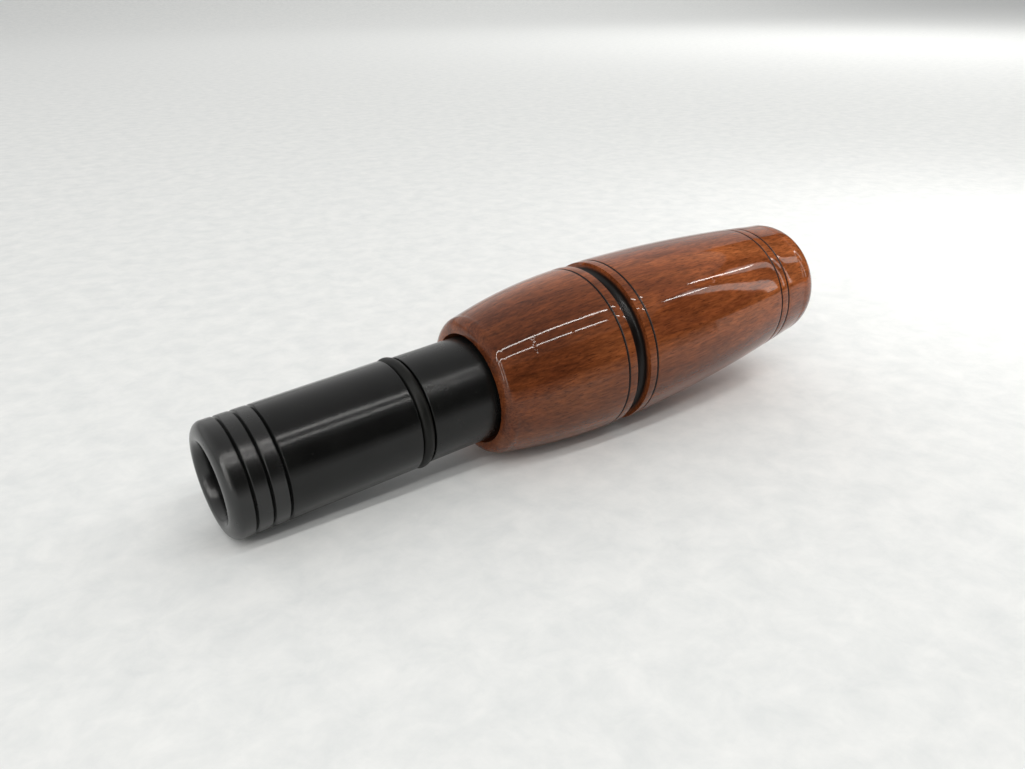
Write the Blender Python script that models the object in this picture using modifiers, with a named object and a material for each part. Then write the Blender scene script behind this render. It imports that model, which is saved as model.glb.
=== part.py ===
"""Duck call: a turned wooden barrel on a black insert that carries the tone board and two reeds.

Metres, +Z up. The axis of the call is the X axis, the exhaust end at -X and the mouthpiece at +X.
The origin is on that axis, half way along the call. The insert is drawn out of the barrel, short
of its home position, so the ring at its shoulder shows. The reeds lie in the XY plane, face up.
"""

import math

import bmesh
import bpy

# Driving dimensions. A station is a distance along the axis from the exhaust end.
LENGTH = 0.1456
INSERT_RADIUS = 0.0111
TENON_RADIUS = 0.01086
BARREL_BORE_RADIUS = 0.0115
BELLY_RADIUS = 0.0180
HOME_TRAVEL = 0.0185

BARREL_STATION = 0.0538
BELLY_STATION = 0.0880
TENON_STATION = 0.0368
TENON_LENGTH = 0.0285

# Barrel: how its side falls away from the belly towards either end.
REAR_SPAN = 0.0304
REAR_DROP = 0.0030
REAR_POWER = 2.40
MOUTH_SPAN = 0.0451
MOUTH_DROP = 0.0031
MOUTH_POWER = 1.80
REAR_RIM_LENGTH = 0.0024
REAR_RIM_DEPTH = 0.0030
MOUTH_RIM_LENGTH = 0.0048
MOUTH_RIM_DEPTH = 0.0028
COUNTERSINK = 0.0003
CHAMBER_RADIUS = 0.0095
MOUTH_BEVEL = 0.0008
BURN_LINES = (0.1340, 0.1313, 0.0893, 0.0816)
BURN_WIDTH = 0.0006
BURN_DEPTH = 0.0003
LANYARD_STATION = 0.0855
LANYARD_WIDTH = 0.0036
LANYARD_DEPTH = 0.0022

# Insert: lip, grooves and bore.
LIP_LENGTH = 0.0020
LIP_DEPTH = 0.0028
V_GROOVES = (0.0105, 0.0073, 0.0042)
V_WIDTH = 0.0008
V_DEPTH = 0.0005
EDGE_BREAK = 0.0003
EXHAUST_FLARE = 0.0280
FLARE_POWER = 1.60
THROAT_RADIUS = 0.0045

# Rings: a cord of rubber that stands proud of the insert, in a square groove. It sits nearer to
# the groove's exhaust wall, with RING_SEAT_ROOM between.
RING_SECTION = 0.00262
RING_OUTER = 0.01135
RING_ROOM = 0.00020
RING_SEAT_ROOM = 0.00010
INNER_RING_STATION = 0.0600

# Tone board: spigot in the insert, collar with the reed slot, and the board in front of it.
SPIGOT_RADIUS = 0.0064
SPIGOT_LENGTH = 0.0120
COLLAR_RADIUS = 0.0106
COLLAR_LENGTH = 0.0120
BOARD_LENGTH = 0.0300
BOARD_RADIUS = 0.0082
BOARD_HALF_WIDTH = 0.0073
BOARD_FACE = 0.0012
BOARD_CURVE = 0.4500
HEEL_DEPTH = 0.0020
HEEL_RELIEF = 0.0001
SLOT_DEPTH = 0.0062
SLOT_HALF_WIDTH = 0.0069
SLOT_ARCH = 0.0087
CHANNEL_SETBACK = 0.0034
CHANNEL_TIP_RADIUS = 0.0023
CHANNEL_TIP_HEIGHT = -0.0002
CHANNEL_ROOT_RADIUS = 0.0042
CHANNEL_ROOT_HEIGHT = -0.0004

# Reeds and wedge, stacked on the board's face.
REED_HALF_WIDTH = 0.0065
REED_CORNER = 0.0030
LONG_REED_THICKNESS = 0.00030
SHORT_REED_THICKNESS = 0.00025
LONG_REED_SETBACK = 0.0015
SHORT_REED_SETBACK = 0.0085
WEDGE_HALF_WIDTH = 0.0064
WEDGE_ARCH = 0.0084
WEDGE_LENGTH = 0.0065
STACK_GAP = 0.00025
END_GAP = 0.0005
FIT_GAP = 0.0002

# How finely curves are divided, how close points are to be one, and how far a cutter overruns.
TURN_STEPS = 40
RING_STEPS = 12
ARC_STEPS = 6
FLARE_STEPS = 4
FACE_STEPS = 12
CHANNEL_SIDES = 24
SIDE_SPACING = 0.0045
SIDE_MARGIN = 0.0020
WELD_DISTANCE = 1e-6
OVERRUN = 0.0010

TENON_END = TENON_STATION + TENON_LENGTH
COLLAR_START = TENON_END + FIT_GAP
COLLAR_END = COLLAR_START + COLLAR_LENGTH
BOARD_END = COLLAR_END + BOARD_LENGTH
SPIGOT_START = TENON_END - SPIGOT_LENGTH
SHOULDER_RING_STATION = TENON_STATION + RING_SEAT_ROOM + RING_SECTION / 2
SLOT_BACK = COLLAR_END - SLOT_DEPTH
REED_ROOT = SLOT_BACK + END_GAP
REED_HINGE = (REED_ROOT + COLLAR_END) / 2
BARREL_STEP = COLLAR_END + HOME_TRAVEL + FIT_GAP

LONG_REED_HEIGHT = BOARD_FACE + STACK_GAP + LONG_REED_THICKNESS / 2
SHORT_REED_HEIGHT = LONG_REED_HEIGHT + (LONG_REED_THICKNESS + SHORT_REED_THICKNESS) / 2 + STACK_GAP
WEDGE_FLOOR = SHORT_REED_HEIGHT + SHORT_REED_THICKNESS / 2 + STACK_GAP

FINISHES = {
    "walnut": ((0.23, 0.075, 0.03), 0.15),
    "black_insert": ((0.012, 0.012, 0.012), 0.2),
    "board_black": ((0.02, 0.02, 0.02), 0.45),
    "ring_rubber": ((0.015, 0.015, 0.013), 0.7),
    "cork": ((0.42, 0.25, 0.13), 0.9),
    "reed_film": ((0.75, 0.77, 0.78), 0.3),
}


def axial(station):
    """World X of a station."""
    return station - LENGTH / 2


def belly_radius(station):
    """Radius of the barrel's side: it falls from the belly by a power of the distance."""
    if station < BELLY_STATION:
        reach = (BELLY_STATION - station) / REAR_SPAN
        return BELLY_RADIUS - REAR_DROP * reach**REAR_POWER
    reach = (station - BELLY_STATION) / MOUTH_SPAN
    return BELLY_RADIUS - MOUTH_DROP * reach**MOUTH_POWER


def arc(station, radius, along, across, start, end, steps=ARC_STEPS):
    """Points of an arc in the profile plane: 0 degrees points to the mouth, 90 outwards.

    It is a circle's when its half axes, along the call and across it, are the same.
    """
    points = []
    for step in range(steps + 1):
        angle = math.radians(start + (end - start) * step / steps)
        points.append((station + along * math.cos(angle), radius + across * math.sin(angle)))
    return points


def plain_side(mouth_end, exhaust_end):
    """Points of the barrel's side between two details, clear of both."""
    start = mouth_end - SIDE_MARGIN
    end = exhaust_end + SIDE_MARGIN
    steps = math.ceil((start - end) / SIDE_SPACING)
    stations = [start + (end - start) * step / steps for step in range(steps + 1)]
    return [(station, belly_radius(station)) for station in stations]


def notch(station, radius, width, depth):
    """A V cut across a side, from its mouth edge to its exhaust edge."""
    return [
        (station + width / 2, radius),
        (station, radius - depth),
        (station - width / 2, radius),
    ]


def ring_groove(station, mouth_radius, exhaust_radius):
    """A square groove that holds a ring of RING_SECTION with a little room round it."""
    mouth_wall = station + RING_SECTION / 2 + RING_ROOM
    exhaust_wall = station - RING_SECTION / 2 - RING_SEAT_ROOM
    floor = RING_OUTER - RING_SECTION - RING_ROOM
    return [
        (mouth_wall, mouth_radius),
        (mouth_wall, floor),
        (exhaust_wall, floor),
        (exhaust_wall, exhaust_radius - EDGE_BREAK),
        (exhaust_wall - EDGE_BREAK, exhaust_radius),
    ]


def clear_scene():
    for obj in list(bpy.data.objects):
        bpy.data.objects.remove(obj, do_unlink=True)


def new_collection(name):
    collection = bpy.data.collections.new(name)
    bpy.context.scene.collection.children.link(collection)
    return collection


def finish(name):
    """The Principled BSDF material of that name, made once."""
    if name in bpy.data.materials:
        return bpy.data.materials[name]
    colour, roughness = FINISHES[name]
    material = bpy.data.materials.new(name)
    material.use_nodes = True
    shader = material.node_tree.nodes["Principled BSDF"]
    shader.inputs["Base Color"].default_value = (*colour, 1.0)
    shader.inputs["Roughness"].default_value = roughness
    shader.inputs["Metallic"].default_value = 0.0
    return material


def place(obj, collection, material):
    """Put an object in its collection; one with no material is a cutter."""
    for old in list(obj.users_collection):
        old.objects.unlink(obj)
    collection.objects.link(obj)
    if material:
        obj.data.materials.append(finish(material))
    else:
        obj.hide_render = True
        obj.display_type = "WIRE"
    return obj


def turned(name, outline, collection, material, closed=True):
    """A body of revolution on the X axis. The outline runs down its outer side, mouth end first."""
    points = [(radius, 0.0, axial(station)) for station, radius in outline]
    edges = [(index, index + 1) for index in range(len(points) - 1)]
    if closed:
        edges.append((len(points) - 1, 0))
    mesh = bpy.data.meshes.new(name)
    mesh.from_pydata(points, edges, [])
    obj = bpy.data.objects.new(name, mesh)
    obj.rotation_euler = (0.0, math.pi / 2, 0.0)
    screw = obj.modifiers.new("turn", "SCREW")
    screw.steps = TURN_STEPS
    screw.render_steps = TURN_STEPS
    screw.use_merge_vertices = True
    screw.merge_threshold = WELD_DISTANCE
    screw.use_smooth_shade = True
    return place(obj, collection, material)


def flat_curve(name, outline, half_depth):
    """A closed flat outline in the object's XY plane, as deep as twice half_depth."""
    data = bpy.data.curves.new(name, "CURVE")
    data.dimensions = "2D"
    data.fill_mode = "BOTH"
    data.extrude = half_depth
    spline = data.splines.new("POLY")
    spline.points.add(len(outline) - 1)
    for point, (across, up) in zip(spline.points, outline):
        point.co = (across, up, 0.0, 1.0)
    spline.use_cyclic_u = True
    return bpy.data.objects.new(name, data)


def flat_block(name, outline, half_depth, location, rotation, collection, material):
    """The same outline as a closed mesh, so that it can be cut or be a cutter."""
    guide = flat_curve(name + "_outline", outline, half_depth)
    bpy.context.scene.collection.objects.link(guide)
    depsgraph = bpy.context.evaluated_depsgraph_get()
    mesh = bpy.data.meshes.new_from_object(guide.evaluated_get(depsgraph))
    mesh.name = name
    weld = bmesh.new()
    weld.from_mesh(mesh)
    bmesh.ops.remove_doubles(weld, verts=weld.verts, dist=WELD_DISTANCE)
    weld.to_mesh(mesh)
    weld.free()
    bpy.data.objects.remove(guide, do_unlink=True)
    obj = bpy.data.objects.new(name, mesh)
    obj.location = location
    obj.rotation_euler = rotation
    return place(obj, collection, material)


def cone(name, start, end, start_radius, end_radius, collection):
    """A cutter that tapers along X between two stations, its axis rising or falling in Z."""
    start_station, start_height = start
    end_station, end_height = end
    run = end_station - start_station
    rise = end_height - start_height
    bpy.ops.mesh.primitive_cone_add(
        vertices=CHANNEL_SIDES,
        radius1=start_radius,
        radius2=end_radius,
        depth=math.hypot(run, rise),
        location=(axial((start_station + end_station) / 2), 0.0, (start_height + end_height) / 2),
        rotation=(0.0, math.pi / 2 - math.atan2(rise, run), 0.0),
    )
    obj = bpy.context.active_object
    obj.name = name
    return place(obj, collection, None)


def boolean(obj, operation, cutter):
    modifier = obj.modifiers.new(cutter.name, "BOOLEAN")
    modifier.operation = operation
    modifier.solver = "EXACT"
    modifier.object = cutter


def make_barrel(parts):
    mouth_rim = LENGTH - MOUTH_RIM_LENGTH
    mouth_radius = belly_radius(mouth_rim) - MOUTH_RIM_DEPTH
    rear_rim = BARREL_STATION + REAR_RIM_LENGTH
    rear_radius = belly_radius(rear_rim) - REAR_RIM_DEPTH
    mouth_upper, mouth_lower, front_line, rear_line = BURN_LINES
    cove = LANYARD_WIDTH / 2
    groove_front = LANYARD_STATION + cove
    groove_rear = LANYARD_STATION - cove
    groove_floor = belly_radius(LANYARD_STATION) - LANYARD_DEPTH

    def burn(station):
        return notch(station, belly_radius(station), BURN_WIDTH, BURN_DEPTH)

    outline = [(LENGTH, CHAMBER_RADIUS + MOUTH_BEVEL)]
    outline += arc(mouth_rim, mouth_radius, MOUTH_RIM_LENGTH, MOUTH_RIM_DEPTH, 0, 90)
    outline += plain_side(mouth_rim, mouth_upper)
    outline += burn(mouth_upper) + burn(mouth_lower)
    outline += plain_side(mouth_lower, front_line)
    outline += burn(front_line)
    outline += [(groove_front, belly_radius(groove_front))]
    outline += arc(LANYARD_STATION, groove_floor + cove, cove, cove, 0, -180)
    outline += [(groove_rear, belly_radius(groove_rear))]
    outline += burn(rear_line)
    outline += plain_side(rear_line, rear_rim)
    outline += arc(rear_rim, rear_radius, REAR_RIM_LENGTH, REAR_RIM_DEPTH, 90, 180)
    outline += [
        (BARREL_STATION + COUNTERSINK, BARREL_BORE_RADIUS),
        (BARREL_STEP, BARREL_BORE_RADIUS),
        (BARREL_STEP, CHAMBER_RADIUS),
        (LENGTH - MOUTH_BEVEL, CHAMBER_RADIUS),
    ]
    return turned("barrel", outline, parts, "walnut")


def make_insert(parts):
    lip_inner = INSERT_RADIUS - LIP_DEPTH
    outline = [
        (TENON_END, TENON_RADIUS - EDGE_BREAK),
        (TENON_END - EDGE_BREAK, TENON_RADIUS),
    ]
    outline += ring_groove(INNER_RING_STATION, TENON_RADIUS, TENON_RADIUS)
    outline += ring_groove(SHOULDER_RING_STATION, TENON_RADIUS, INSERT_RADIUS)
    for station in V_GROOVES:
        outline += notch(station, INSERT_RADIUS, V_WIDTH, V_DEPTH)
    outline += arc(LIP_LENGTH, lip_inner, LIP_LENGTH, LIP_DEPTH, 90, 180)
    for step in range(1, FLARE_STEPS + 1):
        reach = step / FLARE_STEPS
        narrowing = (lip_inner - THROAT_RADIUS) * (1 - reach) ** FLARE_POWER
        outline.append((EXHAUST_FLARE * reach, THROAT_RADIUS + narrowing))
    outline += [
        (SPIGOT_START - FIT_GAP, THROAT_RADIUS),
        (SPIGOT_START - FIT_GAP, SPIGOT_RADIUS + FIT_GAP),
        (TENON_END, SPIGOT_RADIUS + FIT_GAP),
    ]
    return turned("insert", outline, parts, "black_insert")


def make_ring(name, station, parts):
    section = RING_SECTION / 2
    outline = arc(station, RING_OUTER - section, section, section, 0, 360, RING_STEPS)[:-1]
    return turned(name, outline, parts, "ring_rubber")


def make_tone_board(parts, cutters):
    """A collar with the reed slot, a spigot behind it and a curved board in front of it."""
    outline = [
        (COLLAR_END, 0.0),
        (COLLAR_END, COLLAR_RADIUS - EDGE_BREAK),
        (COLLAR_END - EDGE_BREAK, COLLAR_RADIUS),
        (COLLAR_START + EDGE_BREAK, COLLAR_RADIUS),
        (COLLAR_START, COLLAR_RADIUS - EDGE_BREAK),
        (COLLAR_START, SPIGOT_RADIUS),
        (SPIGOT_START, SPIGOT_RADIUS),
        (SPIGOT_START, 0.0),
    ]
    board = turned("tone_board", outline, parts, "board_black", closed=False)

    # The board's side view: its face curves away from the reeds, and its heel is in the collar.
    heel = COLLAR_END - HEEL_DEPTH
    face = []
    for step in range(FACE_STEPS + 1):
        reach = BOARD_LENGTH * step / FACE_STEPS
        face.append((axial(COLLAR_END + reach), BOARD_FACE - reach**2 / (2 * BOARD_CURVE)))
    keel = -BOARD_RADIUS - OVERRUN
    side = [(axial(heel), BOARD_FACE - HEEL_RELIEF)] + face
    side += [(axial(BOARD_END), keel), (axial(heel), keel)]
    tongue = flat_block(
        "tongue", side, BOARD_HALF_WIDTH, (0, 0, 0), (math.pi / 2, 0, 0), cutters, None
    )
    bpy.ops.mesh.primitive_cylinder_add(
        vertices=TURN_STEPS,
        radius=BOARD_RADIUS,
        depth=BOARD_LENGTH * 2,
        location=(axial(COLLAR_END), 0.0, 0.0),
        rotation=(0.0, math.pi / 2, 0.0),
    )
    round_stock = bpy.context.active_object
    round_stock.name = "round_stock"
    place(round_stock, cutters, None)
    boolean(tongue, "INTERSECT", round_stock)

    slot_outline = arch_outline(SLOT_HALF_WIDTH, BOARD_FACE, SLOT_ARCH)
    slot_length = SLOT_DEPTH + 2 * OVERRUN
    slot = flat_block(
        "reed_slot",
        slot_outline,
        slot_length / 2,
        (axial(SLOT_BACK + slot_length / 2), 0.0, 0.0),
        (math.pi / 2, 0.0, math.pi / 2),
        cutters,
        None,
    )
    channel = cone(
        "sound_channel",
        (SPIGOT_START - OVERRUN, CHANNEL_ROOT_HEIGHT),
        (BOARD_END - CHANNEL_SETBACK, CHANNEL_TIP_HEIGHT),
        CHANNEL_ROOT_RADIUS,
        CHANNEL_TIP_RADIUS,
        cutters,
    )
    boolean(board, "UNION", tongue)
    boolean(board, "DIFFERENCE", slot)
    boolean(board, "DIFFERENCE", channel)
    return board


def arch_outline(half_width, floor, arch):
    """A cross-section with a flat floor, upright sides and a round top about the axis."""
    side_angle = math.asin(half_width / arch)
    outline = [(half_width, floor)]
    for step in range(ARC_STEPS + 1):
        angle = side_angle - 2 * side_angle * step / ARC_STEPS
        outline.append((arch * math.sin(angle), arch * math.cos(angle)))
    outline.append((-half_width, floor))
    return outline


def make_reed(name, thickness, height, setback, parts):
    """A flat strip with a rounded free end. Its origin is where the wedge holds it."""
    tip = BOARD_END - setback - REED_HINGE
    corner_x = tip - REED_CORNER
    corner_y = REED_HALF_WIDTH - REED_CORNER
    root = REED_ROOT - REED_HINGE
    outline = [(root, -REED_HALF_WIDTH)]
    outline += arc(corner_x, -corner_y, REED_CORNER, REED_CORNER, -90, 0)
    outline += arc(corner_x, corner_y, REED_CORNER, REED_CORNER, 0, 90)
    outline += [(root, REED_HALF_WIDTH)]
    reed = flat_curve(name, outline, thickness / 2)
    reed.location = (axial(REED_HINGE), 0.0, height)
    return place(reed, parts, "reed_film")


def make_wedge(parts):
    outline = arch_outline(WEDGE_HALF_WIDTH, WEDGE_FLOOR, WEDGE_ARCH)
    wedge = flat_curve("wedge", outline, WEDGE_LENGTH / 2)
    wedge.location = (axial(REED_ROOT + WEDGE_LENGTH / 2), 0.0, 0.0)
    wedge.rotation_euler = (math.pi / 2, 0.0, math.pi / 2)
    return place(wedge, parts, "cork")


def main():
    clear_scene()
    parts = new_collection("duck_call")
    cutters = new_collection("cutters")
    make_barrel(parts)
    make_insert(parts)
    make_ring("o_ring_shoulder", SHOULDER_RING_STATION, parts)
    make_ring("o_ring_inner", INNER_RING_STATION, parts)
    make_tone_board(parts, cutters)
    make_reed("long_reed", LONG_REED_THICKNESS, LONG_REED_HEIGHT, LONG_REED_SETBACK, parts)
    make_reed("short_reed", SHORT_REED_THICKNESS, SHORT_REED_HEIGHT, SHORT_REED_SETBACK, parts)
    make_wedge(parts)


main()
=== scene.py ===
"""Looks of the duck call: a lacquered walnut barrel on a black insert, in the frame of its CAD.

Metres, +X from the exhaust end to the mouthpiece. A station is a distance from the exhaust end.
Each visible piece is a fine mesh with the shape and size of the CAD node that it replaces.
"""

import math

import bmesh
import bpy
from mathutils import Matrix, Vector, noise


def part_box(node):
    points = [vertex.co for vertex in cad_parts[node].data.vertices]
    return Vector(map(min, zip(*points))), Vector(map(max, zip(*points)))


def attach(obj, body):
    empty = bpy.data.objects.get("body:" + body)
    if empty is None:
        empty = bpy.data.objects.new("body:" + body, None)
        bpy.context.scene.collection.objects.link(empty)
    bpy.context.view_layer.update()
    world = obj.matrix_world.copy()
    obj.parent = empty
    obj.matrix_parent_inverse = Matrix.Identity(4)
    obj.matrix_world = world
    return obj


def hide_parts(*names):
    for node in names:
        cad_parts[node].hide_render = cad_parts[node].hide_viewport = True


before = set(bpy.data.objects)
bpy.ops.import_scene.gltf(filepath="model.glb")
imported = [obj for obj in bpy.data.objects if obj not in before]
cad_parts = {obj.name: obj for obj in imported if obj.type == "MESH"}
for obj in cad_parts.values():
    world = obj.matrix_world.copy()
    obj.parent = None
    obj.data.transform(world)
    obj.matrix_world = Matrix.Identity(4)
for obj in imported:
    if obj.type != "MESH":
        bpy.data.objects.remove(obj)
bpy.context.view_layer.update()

# Places and sizes that the pieces share. Those with a box of their own come from the frame.
EXHAUST_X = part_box("insert")[0].x
MOUTH_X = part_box("barrel")[1].x
LENGTH = MOUTH_X - EXHAUST_X
INSERT_RADIUS = 0.0111
TENON_RADIUS = 0.01086
TENON_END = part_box("insert")[1].x - EXHAUST_X
BARREL_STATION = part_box("barrel")[0].x - EXHAUST_X
BELLY_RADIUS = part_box("barrel")[1].z
RING_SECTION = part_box("o_ring_inner")[1].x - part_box("o_ring_inner")[0].x
RING_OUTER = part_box("o_ring_inner")[1].z
COLLAR_RADIUS = 0.0106
FIT_GAP = 0.0002
COLLAR_LENGTH = 0.0120
COLLAR_START = TENON_END + FIT_GAP
COLLAR_END = COLLAR_START + COLLAR_LENGTH
SPIGOT_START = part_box("tone_board")[0].x - EXHAUST_X
BOARD_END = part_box("tone_board")[1].x - EXHAUST_X
REED_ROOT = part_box("long_reed")[0].x - EXHAUST_X

# Barrel.
BELLY_STATION = 0.0880
REAR_SPAN = 0.0304
REAR_DROP = 0.0030
REAR_POWER = 2.40
MOUTH_SPAN = 0.0451
MOUTH_DROP = 0.0031
MOUTH_POWER = 1.80
REAR_RIM_LENGTH = 0.0024
REAR_RIM_DEPTH = 0.0030
MOUTH_RIM_LENGTH = 0.0048
MOUTH_RIM_DEPTH = 0.0028
COUNTERSINK = 0.0003
BORE_RADIUS = 0.0115
BORE_PAST_COLLAR = 0.0187
BORE_STEP = COLLAR_END + BORE_PAST_COLLAR
CHAMBER_RADIUS = 0.0095
MOUTH_BEVEL = 0.0008
BURN_LINES = (0.1340, 0.1313, 0.0893, 0.0816)
BURN_WIDTH = 0.0006
BURN_DEPTH = 0.0003
LANYARD_STATION = 0.0855
LANYARD_WIDTH = 0.0036
LANYARD_DEPTH = 0.0022
COVE_POWER = 4
NOTCH_POWER = 1.2
EDGE_ROLL = 0.00008
EDGE_ROLL_REACH = 0.0006

# Runs of lacquer that dried proud of the barrel: station, angle round the axis, reach.
LACQUER_RUNS = (
    (0.0628, 134.0, 0.00045),
    (0.0626, 136.5, 0.00035),
    (0.0625, 139.0, 0.00032),
    (0.0624, 141.5, 0.00030),
    (0.0624, 144.0, 0.00034),
    (0.0624, 146.3, 0.00046),
    (0.0712, 139.5, 0.00030),
    (0.1105, 138.0, 0.00035),
    (0.0690, 40.0, 0.00040),
    (0.1180, 300.0, 0.00045),
)
RUN_HEIGHT = 0.00003
RUN_SKIRT = 1.4

# Slow waves of the lacquered side, stronger towards the mouthpiece. They fade out near the bore.
WAVE_HEIGHT = 0.000006
MOUTH_WAVE_HEIGHT = 0.000016
MOUTH_WAVE_START = 0.100
MOUTH_WAVE_END = 0.128
WAVE_FREQUENCY = 150.0
WAVE_FADE = 0.0012

# Char in the lanyard groove, in half widths from its middle: where it starts, is full and fades.
CHAR_START = -0.35
CHAR_FULL = 0.10
CHAR_FADE = 0.90

# Insert.
TENON_STATION = 0.0368
LIP_LENGTH = 0.0020
LIP_DEPTH = 0.0026
MOUTH_ROUND_LENGTH = 0.0026
MOUTH_ROUND_DEPTH = 0.0016
# Reach of the painted light that greys the exhaust lip.
LIP_LIGHT_REACH = 0.0018
V_GROOVES = (0.0105, 0.0073, 0.0042)
V_WIDTH = 0.0008
V_DEPTH = 0.0005
RIDGE_ROLL = 0.00008
EDGE_BREAK = 0.0003
EXHAUST_FLARE = 0.0280
FLARE_POWER = 1.60
THROAT_RADIUS = 0.0045
SPIGOT_RADIUS = 0.0064
RING_ROOM = 0.00020
RING_SEAT_ROOM = 0.00010

# Tone board, reeds and wedge.
BOARD_LENGTH = BOARD_END - COLLAR_END
BOARD_RADIUS = 0.0082
BOARD_HALF_WIDTH = 0.0073
BOARD_FACE = 0.0012
BOARD_CURVE = 0.4500
HEEL_DEPTH = 0.0020
SLOT_BACK = REED_ROOT - 0.0005
SLOT_HALF_WIDTH = 0.0069
SLOT_ARCH = 0.0087
CHANNEL_SETBACK = 0.0034
CHANNEL_TIP_RADIUS = 0.0023
CHANNEL_TIP_HEIGHT = -0.0002
CHANNEL_ROOT_RADIUS = 0.0042
CHANNEL_ROOT_HEIGHT = -0.0004
REED_CORNER = 0.0030
REED_EDGE = 0.00006
WEDGE_ARCH = 0.0084
WEDGE_EDGE = 0.00025
CORK_GRAIN = 0.00006
CORK_FREQUENCY = 2200.0
CORK_SPACING = 0.00016
WEDGE_END_INSETS = (0.0030, 0.0022, 0.0014, 0.0008, 0.0004)
WEDGE_STEPS = 32
REED_SPACING = 0.0008
BOARD_EDGE = 0.00012
BOARD_EDGE_ANGLE = math.radians(35)
BOARD_SHARP_ANGLE = math.radians(30)
WELD_DISTANCE = 0.000004
TOOL_MARGIN = 0.001
FACE_OVERLAP = 0.0001
STOCK_REACH = 1.2
POLE_RADIUS = 0.00001

# Fineness of the meshes.
TURNS = 320
RING_SIDES = 48
BOARD_SIDES = 96
ARCH_STEPS = 24
FACE_STEPS = 40
FLARE_STEPS = 32
LACQUER_STEP = 0.00035
SHARP_ANGLE = math.radians(40)

# Material indices on the barrel and on the insert.
LACQUERED, BARE, CHARRED = range(3)
POLISHED, SATIN, BORED, LIT_LIP = range(4)


def node(tree, kind, settings=None, **inputs):
    """Add a shader node. An input is a socket to link or a value to set."""
    made = tree.nodes.new(kind)
    for name, value in (settings or {}).items():
        setattr(made, name, value)
    for name, value in inputs.items():
        key = int(name[1:]) if name[0] == "i" and name[1:].isdigit() else name.replace("_", " ")
        socket = made.inputs[key]
        if isinstance(value, bpy.types.NodeSocket):
            tree.links.new(value, socket)
        else:
            socket.default_value = value
    return made


def new_material(name):
    material = bpy.data.materials.new(name)
    material.use_nodes = True
    shader = material.node_tree.nodes["Principled BSDF"]
    return material, material.node_tree, shader


def stretched(tree, frequency):
    """Object coordinates times a frequency along each axis, in cycles a metre."""
    coords = node(tree, "ShaderNodeTexCoord")
    scaled = node(tree, "ShaderNodeVectorMath", {"operation": "MULTIPLY"}, i0=coords.outputs["Object"])
    scaled.inputs[1].default_value = frequency
    return scaled.outputs["Vector"]


def noise_value(tree, frequency, detail=3.0, roughness=0.5, distortion=0.0):
    made = node(
        tree,
        "ShaderNodeTexNoise",
        Vector=stretched(tree, frequency),
        Scale=1.0,
        Detail=detail,
        Roughness=roughness,
        Distortion=distortion,
    )
    return made.outputs["Fac"]


def ramp(tree, factor, stops):
    """A colour ramp from a list of (position, grey or colour)."""
    made = node(tree, "ShaderNodeValToRGB", Fac=factor)
    elements = made.color_ramp.elements
    while len(elements) < len(stops):
        elements.new(0.5)
    for element, (position, colour) in zip(elements, stops):
        element.position = position
        shade = colour if isinstance(colour, tuple) else (colour,) * 3
        element.color = (*shade, 1.0)
    return made.outputs["Color"]


def blend_colour(tree, factor, first, second, blend="MIX"):
    made = node(tree, "ShaderNodeMix", {"data_type": "RGBA", "blend_type": blend})
    for socket, value in ((made.inputs[0], factor), (made.inputs[6], first), (made.inputs[7], second)):
        if isinstance(value, bpy.types.NodeSocket):
            tree.links.new(value, socket)
        elif isinstance(value, tuple):
            socket.default_value = (*value, 1.0)
        else:
            socket.default_value = value
    return made.outputs[2]


def maths(tree, operation, first, second=0.0):
    made = node(tree, "ShaderNodeMath", {"operation": operation}, i0=first, i1=second)
    return made.outputs["Value"]


def bump(tree, height, distance):
    made = node(tree, "ShaderNodeBump", Height=height, Distance=distance, Strength=1.0)
    return made.outputs["Normal"]


def side_radius(station):
    """Radius of the barrel's side: it falls from the belly by a power of the distance."""
    if station < BELLY_STATION:
        reach = (BELLY_STATION - station) / REAR_SPAN
        return BELLY_RADIUS - REAR_DROP * reach**REAR_POWER
    reach = (station - BELLY_STATION) / MOUTH_SPAN
    return BELLY_RADIUS - MOUTH_DROP * reach**MOUTH_POWER


def on_barrel(station, angle):
    """A point of the barrel's side, as a vector in the frame."""
    turn = math.radians(angle)
    radius = side_radius(station)
    return Vector((EXHAUST_X + station, radius * math.cos(turn), radius * math.sin(turn)))


def lacquer_runs(tree):
    """A height that is 1 on top of each run of lacquer and 0 away from them."""
    coords = node(tree, "ShaderNodeTexCoord").outputs["Object"]
    height = None
    for station, angle, reach in LACQUER_RUNS:
        away = node(tree, "ShaderNodeVectorMath", {"operation": "DISTANCE"}, i0=coords)
        away.inputs[1].default_value = on_barrel(station, angle)
        rise = node(tree, "ShaderNodeMapRange", {"interpolation_type": "SMOOTHSTEP"})
        tree.links.new(away.outputs["Value"], rise.inputs["Value"])
        rise.inputs["From Min"].default_value = reach * RUN_SKIRT
        rise.inputs["From Max"].default_value = 0.0
        height = maths(tree, "MAXIMUM", height, rise.outputs[0]) if height else rise.outputs[0]
    return height


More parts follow.
